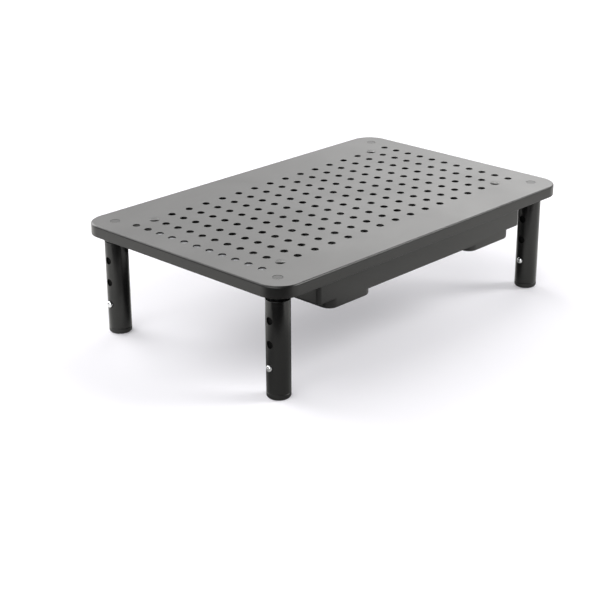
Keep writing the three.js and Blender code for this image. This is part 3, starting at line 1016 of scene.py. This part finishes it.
@dataclass
class Drawer:
    """The moulded tray with two deeper bins."""

    wall: float = 2.2 * MM
    corner: float = 3.4 * MM
    ledge_width: float = 12.5 * MM
    ledge_below_top: float = 30.6 * MM
    middle_drop: float = 1.9 * MM
    bin_widths: Pair = (51.8 * MM, 58.5 * MM)
    bin_drop: float = 5.9 * MM
    bin_corner: float = 9 * MM
    bin_edge: float = 2 * MM
    lip: float = 2 * MM
    half_length: float = 132 * MM
    lip_start: float = 10.5 * MM
    catch: Triple = (6 * MM, 6 * MM, 4.7 * MM)
    catch_place: Pair = (140 * MM, 53.9 * MM)
    edge: float = 0.35 * MM
    corner_steps: int = 12
    edge_steps: int = 5
    flat_angle: float = 0.5

    def __post_init__(self) -> None:
        """Reads the tray's place from the frame."""
        self.box = Box.of("drawer")
        self.stand_top = Box.of("platform").high.z
        self.top = self.box.high.z - self.catch[2]

    def space(self, ends: Pair, bottom: float, inset: float, top: float) -> Box:
        """The box of one block of the tray, from front to back."""
        low = Vector((ends[0], self.box.low.y + inset, bottom + inset))
        return Box(low, Vector((ends[1], self.box.high.y - inset, top)))

    def form(self, space: Box, radius: float, edge: float) -> Body:
        """Makes one rounded block of the tray, its outside or its inside.

        Args:
            space: The box that it fills.
            radius: The rounding of its upright edges.
            edge: The rounding of its lowest edges.

        Returns:
            The block.
        """
        body = block(space)
        softened(body, upright(body), radius, self.corner_steps)
        return softened(body, level(body, space.low.z), edge, self.edge_steps)

    def forms(self, inset: float, top: float) -> list[Body]:
        """Makes the four blocks of the tray.

        Args:
            inset: Zero for the outside, the wall for the inside.
            top: Where the blocks end.

        Returns:
            The shallow block with the ledges, the middle one and the two bins.
        """
        ledge = self.stand_top - self.ledge_below_top
        middle = ledge - self.middle_drop
        lowest = middle - self.bin_drop
        far = self.half_length - self.ledge_width
        left, right = (far - width for width in self.bin_widths)
        corner, bin_corner = self.corner - inset, self.bin_corner - inset
        reach = self.half_length - inset
        ends = (-left - self.bin_corner, right + self.bin_corner)
        bodies = [
            self.form(self.space((-reach, reach), ledge, inset, top), corner, corner / 2),
            block(self.space(ends, middle, inset, top)),
        ]
        for start, end in ((-far, -left), (right, far)):
            space = self.space((start + inset, end - inset), lowest, inset, top)
            bodies.append(self.form(space, bin_corner, self.bin_edge - inset / 2))
        return bodies

    def lips(self) -> list[Body]:
        """Makes the side lips that run in the rails, each with its catch.

        Returns:
            A lip and a catch for each side.
        """
        bodies = []
        for side in (-1, 1):
            spans = sorted((side * (self.half_length - self.wall / 2), side * self.box.high.x))
            low = Vector((spans[0], self.box.low.y + self.lip_start, self.top - self.lip))
            bodies.append(block(Box(low, Vector((spans[1], self.box.high.y, self.top)))))
            x, y = side * self.catch_place[0], self.catch_place[1]
            half = self.catch[0] / 2
            base = Vector((x - half, y, self.top - self.lip / 2))
            head = Vector((x + half, y + self.catch[1], self.box.high.z))
            bodies.append(block(Box(base, head)))
        return bodies

    def build(self) -> None:
        """Makes the piece."""
        outside, *others = self.forms(0, self.top)
        whole = combined(outside, [*others, *self.lips()], Operation.UNION)
        hollow, *rest = self.forms(self.wall, self.top + self.wall)
        inside = combined(hollow, rest, Operation.UNION)
        tray = combined(whole, [inside], Operation.DIFFERENCE)
        flat = math.radians(self.flat_angle)
        bmesh.ops.dissolve_limit(tray, angle_limit=flat, verts=tray.verts, edges=tray.edges)
        piece = make_piece("drawer_tray", tray, Slot.DRAWER_BLACK, "drawer", "drawer")
        bevelled(piece, self.edge, harden=True)


@dataclass
class Rail:
    """One bent rail with its stop tab in front and its end tab behind."""

    side: int
    sheet: float = 1.2 * MM
    bend: float = 1.8 * MM
    stop_over_lip: float = 2.1 * MM
    edge: float = 0.2 * MM
    steps: int = 10

    def __post_init__(self) -> None:
        """Reads the rail's place from the frame."""
        self.name = "right" if self.side > 0 else "left"
        self.box = Box.of(f"rail_{self.name}")
        self.near = min(abs(self.box.low.x), abs(self.box.high.x))
        self.far = max(abs(self.box.low.x), abs(self.box.high.x))

    def channel(self) -> Body:
        """Draws the bent channel on the right side.

        Returns:
            The channel.
        """
        low, high, half = self.box.low.z, self.box.high.z, self.sheet / 2
        near, far, wall = self.near, self.far, self.far - self.sheet
        corners = [(near, high), (far, high), (far, low), (near, low)]
        floor, roof = low + self.sheet, high - self.sheet
        inner = [(near, floor), (wall, floor), (wall, roof), (near, roof)]
        outline = rounded(corners, self.bend + half, self.steps)
        outline += rounded(inner, self.bend - half, self.steps)
        return extruded(outline, self.box.low.y, self.box.high.y)

    def tabs(self) -> list[Body]:
        """Makes the tabs on the right side.

        Returns:
            The stop tab and the end tab.
        """
        drawer_top = Box.of("drawer").high.z - Drawer.catch[2]
        edge = self.far - self.sheet - self.bend
        top = self.box.high.z - self.sheet / 2
        front, back = self.box.low.y, self.box.high.y
        places = (
            (front, front + self.sheet, drawer_top + self.stop_over_lip),
            (back - self.sheet, back, drawer_top - Drawer.lip),
        )
        return [
            block(Box(Vector((self.near, start, low)), Vector((edge, end, top))))
            for start, end, low in places
        ]

    def build(self) -> None:
        """Makes the rail."""
        body = combined(self.channel(), self.tabs(), Operation.UNION)
        if self.side < 0:
            bmesh.ops.scale(body, verts=body.verts, vec=(-1, 1, 1))
            bmesh.ops.reverse_faces(body, faces=body.faces)
        node = f"rail_{self.name}"
        piece = make_piece(f"rail_channel_{self.name}", body, Slot.SATIN_BLACK, "stand", node)
        bevelled(piece, self.edge)


@dataclass
class RailFixing:
    """One stud whose low head covers a hole of the grid, and its nut below the rail."""

    corner: Corner
    stud_radius: float = 2 * MM
    play: float = 0.2 * MM
    neck_radius: float = 2.85 * MM
    head_edge: float = 0.25 * MM
    chamfer: float = 0.5 * MM
    steps: int = 48
    dome_steps: int = 8
    nut_sides: int = 6

    def stud(self) -> None:
        """The stud with its domed head and its neck."""
        node = self.corner.node("rail_stud")
        box = Box.of(node)
        low, radius, neck, head = box.low.z, self.stud_radius, self.neck_radius, box.size.x / 2
        plate = Box.of("platform").high.z
        under = plate - Platform.sheet
        base = plate + self.head_edge
        soft = self.chamfer / 4
        profile = [(0, low), (radius - soft, low), (radius, low + soft), (radius, under)]
        profile += [(neck, under), (neck, plate), (head - soft, plate)]
        profile += quarter((0, base), (head, box.high.z - base), self.dome_steps)[:-1]
        body = moved(spun([*profile, (0, box.high.z)], self.steps), box.axis)
        make_piece(node, body, Slot.SATIN_BLACK, "stand", node)

    def nut(self) -> None:
        """The hexagon nut with its corners turned off."""
        node = self.corner.node("rail_nut")
        box = Box.of(node)
        low, high, corners = box.low.z, box.high.z, box.size.y / 2
        bore, flat = self.stud_radius + self.play, corners - self.chamfer
        hexagon = moved(cylinder(corners, box.size.z, self.nut_sides), (0, 0, box.centre.z))
        soft = self.chamfer / 2
        ring = [(bore, low), (flat, low), (corners, low + soft)]
        ring += [(corners, high - soft), (flat, high), (bore, high)]
        body = combined(hexagon, [spun(ring, self.steps, closed=True)], Operation.INTERSECT)
        axis = Box.of(self.corner.node("rail_stud")).axis
        make_piece(node, moved(body, axis), Slot.ZINC, "stand", node, sharp=20)

    def build(self) -> None:
        """Makes both pieces."""
        self.stud()
        self.nut()


# Studio


@dataclass(frozen=True)
class Camera:
    """The photograph's camera, found from the platform's grid of holes."""

    place: Triple = (-0.91598, -0.84238, 0.50969)
    target: Triple = (-0.11402, -0.07161, 0.06)
    roll: float = -0.283
    lens: float = 88.81
    sensor: float = 36.0

    def build(self) -> None:
        """Sets the scene's camera."""
        data = bpy.data.cameras.new("photo_camera")
        data.sensor_width = self.sensor
        data.lens = self.lens
        camera = in_scene("photo_camera", data)
        aim = (Vector(self.target) - Vector(self.place)).to_track_quat("-Z", "Y").to_matrix()
        turn = Matrix.Rotation(math.radians(self.roll), 3, "Z")
        camera.rotation_mode = "QUATERNION"
        camera.location = self.place
        camera.rotation_quaternion = (aim @ turn).to_quaternion()
        bpy.context.scene.camera = camera


@dataclass(frozen=True)
class Zone:
    """A soft-edged round part of the sky: its azimuth from +X, its elevation and its half width."""

    azimuth: float
    elevation: float
    width: float
    softness: float

    def mask(self, writer: NodeWriter, way: Socket) -> Socket:
        """Marks the zone in the sky.

        Args:
            writer: Where the nodes go.
            way: The direction.

        Returns:
            One inside the zone and zero outside.
        """
        turn, rise = math.radians(self.azimuth), math.radians(self.elevation)
        level = math.cos(rise)
        aim = (math.cos(turn) * level, math.sin(turn) * level, math.sin(rise))
        start = math.cos(math.radians(self.width + self.softness))
        end = math.cos(math.radians(max(self.width - self.softness, 0)))
        return writer.ramp(writer.dot(way, aim), (start, end))


@dataclass(frozen=True)
class ShadeWedge:
    """A wedge of painted shade in the floor's reflection: the floor as the paint mirrors it is
    darkened in a wedge that opens in one direction.
    """

    azimuth: float
    half: float
    spread: float
    edge: float
    start: Pair
    dim: float

    def share(self, writer: NodeWriter, place: Socket) -> Socket:
        """Paints shade into the floor's reflected light in the wedge.

        Args:
            writer: Where the nodes go.
            place: The place on the floor.

        Returns:
            What is left of the light there.
        """
        turn = math.radians(self.azimuth)
        forward = writer.dot(place, (math.cos(turn), math.sin(turn), 0.0))
        sideways = writer.dot(place, (-math.sin(turn), math.cos(turn), 0.0))
        limit = writer.maths("MULTIPLY_ADD", forward, self.spread, self.half)
        inside = writer.maths("SUBTRACT", limit, writer.maths("ABSOLUTE", sideways))
        wedge = writer.ramp(inside, (-self.edge, self.edge))
        mask = writer.maths("MULTIPLY", wedge, writer.ramp(forward, self.start))
        return writer.maths("MULTIPLY_ADD", mask, -self.dim, 1.0)


@dataclass(frozen=True)
class Studio:
    """Pale lit floor and soft surroundings, with brighter and darker parts of the sky for the paint
    to reflect, and painted shade in the floor's reflection.
    """

    floor_half: float = 6.0
    floor_cells: int = 8
    floor_colour: Triple = (0.8, 0.795, 0.83)
    # the colour that the paint sees on the floor: a painted reflection
    painted_reflection_colour: Triple = (0.84, 0.84, 0.82)
    sky_colour: Triple = (1.0, 0.995, 0.985)
    floor_glow: float = 0.24
    low_level: float = 3.12
    side_gain: float = 0.9
    low_rise: Pair = (30.0, 40.0)
    haze_rise: Pair = (14.0, 20.5)
    haze: float = 0.1
    side: Zone = Zone(15.0, 15.0, 24.0, 9.0)
    window: Zone = Zone(44.0, 18.0, 38.0, 10.0)
    beyond: float = 0.1
    lamps: tuple[tuple[Zone, float], ...] = (
        (Zone(-39.0, 35.0, 13.0, 4.0), 10.0),
        (Zone(92.0, 26.0, 22.0, 8.0), 4.0),
        (Zone(200.0, 30.0, 26.0, 10.0), 2.6),
        (Zone(135.0, 60.0, 20.0, 8.0), 2.1),
    )
    # painted shade in the floor's reflection: wedges where the paint mirrors a darkened floor
    shade_wedges: tuple[ShadeWedge, ...] = (
        ShadeWedge(224.0, 0.07, 0.5, 0.045, (0.0, 0.08), 0.55),
        ShadeWedge(218.0, -0.15, 1.2, 0.05, (0.36, 0.42), 0.95),
        ShadeWedge(185.0, 0.07, 0.0, 0.03, (0.17, 0.21), 0.3),
        ShadeWedge(50.0, 0.05, 0.45, 0.04, (0.1, 0.14), 0.95),
        ShadeWedge(-50.0, 0.12, 0.45, 0.05, (0.15, 0.22), 0.16),
    )
    # painted shade in the floor's reflection below the platform, fading over this margin inside its
    # edge
    painted_shade_below: float = 0.9
    painted_shade_margin: Pair = (-0.05, 0.0)

    def painted_reflection_share(self, writer: NodeWriter, place: Socket) -> Socket:
        """Works out how much of the floor's light the paint's reflection keeps, with painted shade.

        Args:
            writer: Where the nodes go.
            place: The place on the floor.

        Returns:
            One where the reflection keeps all of it, less where shade is painted below the stand
            and in the shade wedges.
        """
        axes = writer.node("ShaderNodeSeparateXYZ", {"Vector": place})
        half = Box.of("platform").size / 2
        below = self.painted_shade_below
        for name, reach in (("X", half.x), ("Y", half.y)):
            out = writer.maths("ABSOLUTE", axes.outputs[name])
            start, end = (reach + edge for edge in self.painted_shade_margin)
            below = writer.maths("MULTIPLY", writer.ramp(out, (start, end), (1.0, 0.0)), below)
        share = writer.maths("SUBTRACT", 1.0, below)
        for shade_wedge in self.shade_wedges:
            share = writer.maths("MULTIPLY", share, shade_wedge.share(writer, place))
        return share

    def floor(self) -> None:
        """The floor that the stand stands on."""
        bm = bmesh.new()
        cells = self.floor_cells
        bmesh.ops.create_grid(bm, x_segments=cells, y_segments=cells, size=self.floor_half)
        mesh = as_mesh("floor", bm)
        writer = new_material("floor_paper")
        # the paint sees the floor in its painted reflection colour, with painted shade below the
        # stand and in the wedges
        glossy = writer.node("ShaderNodeLightPath").outputs["Is Glossy Ray"]
        share = self.painted_reflection_share(writer, writer.place())
        seen = writer.mixed(share, (0.0, 0.0, 0.0, 1.0), opaque(self.painted_reflection_colour))
        colour = writer.mixed(glossy, opaque(self.floor_colour), seen)
        matt = {"Base Color": colour, "Roughness": 0.9, "Specular IOR Level": 0.0}
        glow = {"Emission Color": colour, "Emission Strength": self.floor_glow}
        writer.shaded(matt | glow)
        mesh.materials.append(bpy.data.materials["floor_paper"])
        in_scene("floor", mesh)

    def surroundings(self) -> None:
        """The world: a bright low band behind the stand, and softly edged lamps round it."""
        world = bpy.data.worlds.new("studio")
        world.use_nodes = True
        bpy.context.scene.world = world
        writer = NodeWriter(world.node_tree)
        way = writer.node("ShaderNodeTexCoord").outputs["Generated"]
        height = writer.node("ShaderNodeSeparateXYZ", {"Vector": way}).outputs["Z"]

        def risen(rises: Pair, levels: Pair) -> Socket:
            """Runs from one level to another between two elevations."""
            start, end = (math.sin(math.radians(rise)) for rise in rises)
            return writer.ramp(height, (start, end), levels)

        gain = writer.maths("MULTIPLY_ADD", self.side.mask(writer, way), self.side_gain, 1.0)
        band = writer.maths("MULTIPLY", gain, risen(self.haze_rise, (self.haze, 1.0)))
        level = writer.maths("MULTIPLY", band, risen(self.low_rise, (self.low_level, 0.0)))
        window = self.window.mask(writer, way)
        opening = writer.maths("MULTIPLY_ADD", window, 1.0 - self.beyond, self.beyond)
        level = writer.maths("MULTIPLY", level, opening)
        for zone, extra in self.lamps:
            level = writer.maths("MULTIPLY_ADD", zone.mask(writer, way), extra, level)
        sky = {"Color": opaque(self.sky_colour), "Strength": level}
        shader = writer.node("ShaderNodeBackground", sky)
        writer.node("ShaderNodeOutputWorld", {"Surface": shader.outputs["Background"]})

    def build(self) -> None:
        """Sets the whole studio."""
        self.floor()
        self.surroundings()
        bpy.context.scene.view_settings.view_transform = "Standard"


def main() -> None:
    """Builds every piece in order, then the studio and the camera."""
    logging.basicConfig(level=logging.INFO, format="%(message)s")
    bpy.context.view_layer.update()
    build_finishes()
    Platform().build()
    Strip().build()
    for corner in Corner:
        Leg(corner).build()
        RailFixing(corner).build()
    Drawer().build()
    for side in (-1, 1):
        Rail(side).build()
    Studio().build()
    Camera().build()


if __name__ == "__main__":
    main()
